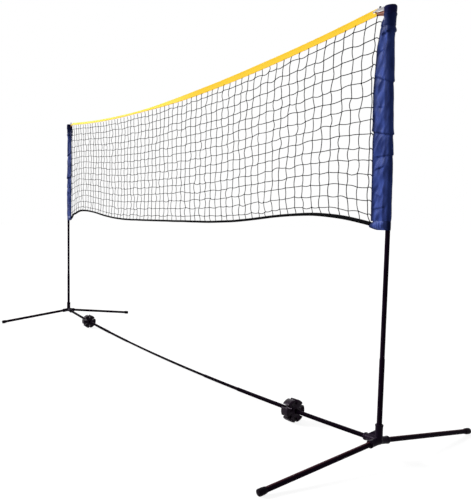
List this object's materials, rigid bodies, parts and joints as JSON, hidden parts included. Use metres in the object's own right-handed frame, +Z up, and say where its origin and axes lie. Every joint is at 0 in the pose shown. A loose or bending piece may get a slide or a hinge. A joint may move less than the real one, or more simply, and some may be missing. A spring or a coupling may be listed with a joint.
{
  "type": "portable volleyball net on poles",
  "caption": "Free-standing ball-game net: knotted netting with a yellow top tape and blue sleeves on two telescoping poles, joined by a sagging ground bar with lobed supports.",
  "frame": {"origin": "on the floor, midway between the two poles", "axes": "+X along the net towards the right pole, +Y towards the back legs, +Z up"},
  "size_m": [3.2294, 1.0518, 1.5545],
  "materials": {
    "hub_plastic": "moulded black plastic, low sheen",
    "dark_steel": "satin black powder coat with a brown cast",
    "foot_rubber": "matte black",
    "support_plastic": "moulded brown-black plastic, soft highlights",
    "cap_plastic": "black",
    "net_string": "knotted dark grey twine",
    "yellow_tape": "coated golden yellow band",
    "black_cord": "braided black cord",
    "brown_patch": "worn brown patch",
    "eyelet_brass": "dull",
    "white_strap": "white webbing",
    "blue_cloth": "satin royal blue polyester",
    "navy_cloth": "satin navy polyester"
  },
  "bodies": {
    "frame": {"right_hub": "hub_plastic", "left_hub": "hub_plastic", "right_front_leg": "dark_steel", "right_back_leg": "dark_steel", "left_front_leg": "dark_steel", "left_back_leg": "dark_steel", "right_front_foot_cap": "foot_rubber", "right_back_foot_cap": "foot_rubber", "left_front_foot_cap": "foot_rubber", "left_back_foot_cap": "foot_rubber", "right_bar_tube": "dark_steel", "left_bar_tube": "dark_steel", "right_bar_middle": "dark_steel", "left_bar_middle": "dark_steel", "bar_centre": "dark_steel", "right_bar_support": "support_plastic", "left_bar_support": "support_plastic", "right_lower_pole": "dark_steel", "left_lower_pole": "dark_steel"},
    "right_mast": {"right_upper_pole": "dark_steel", "right_pole_cap": "cap_plastic", "net_rows": "net_string", "net_uprights": "net_string", "top_tape": "yellow_tape", "bottom_cord": "black_cord", "right_tape_patch": "brown_patch", "left_tape_patch": "brown_patch", "right_eyelet": "eyelet_brass", "left_eyelet": "eyelet_brass", "right_tie_strap": "white_strap", "left_tie_strap": "white_strap", "right_cord_stop": "cap_plastic", "left_cord_stop": "cap_plastic", "right_sleeve": "blue_cloth", "left_sleeve": "blue_cloth", "right_cuff": "navy_cloth", "left_cuff": "navy_cloth", "right_hem": "blue_cloth", "left_hem": "blue_cloth"},
    "left_mast": {"left_upper_pole": "dark_steel", "left_pole_cap": "cap_plastic"}
  },
  "joints": [
    {"name": "right_pole_slide", "type": "slide", "parent": "frame", "child": "right_mast", "axis": [0, 0, 1], "range_m": [0, 0.2]},
    {"name": "left_pole_slide", "type": "slide", "parent": "frame", "child": "left_mast", "axis": [0, 0, 1], "range_m": [0, 0.2]}
  ],
  "couplings": [
    {"joint": "left_pole_slide", "follows": "right_pole_slide", "ratio": 1}
  ]
}
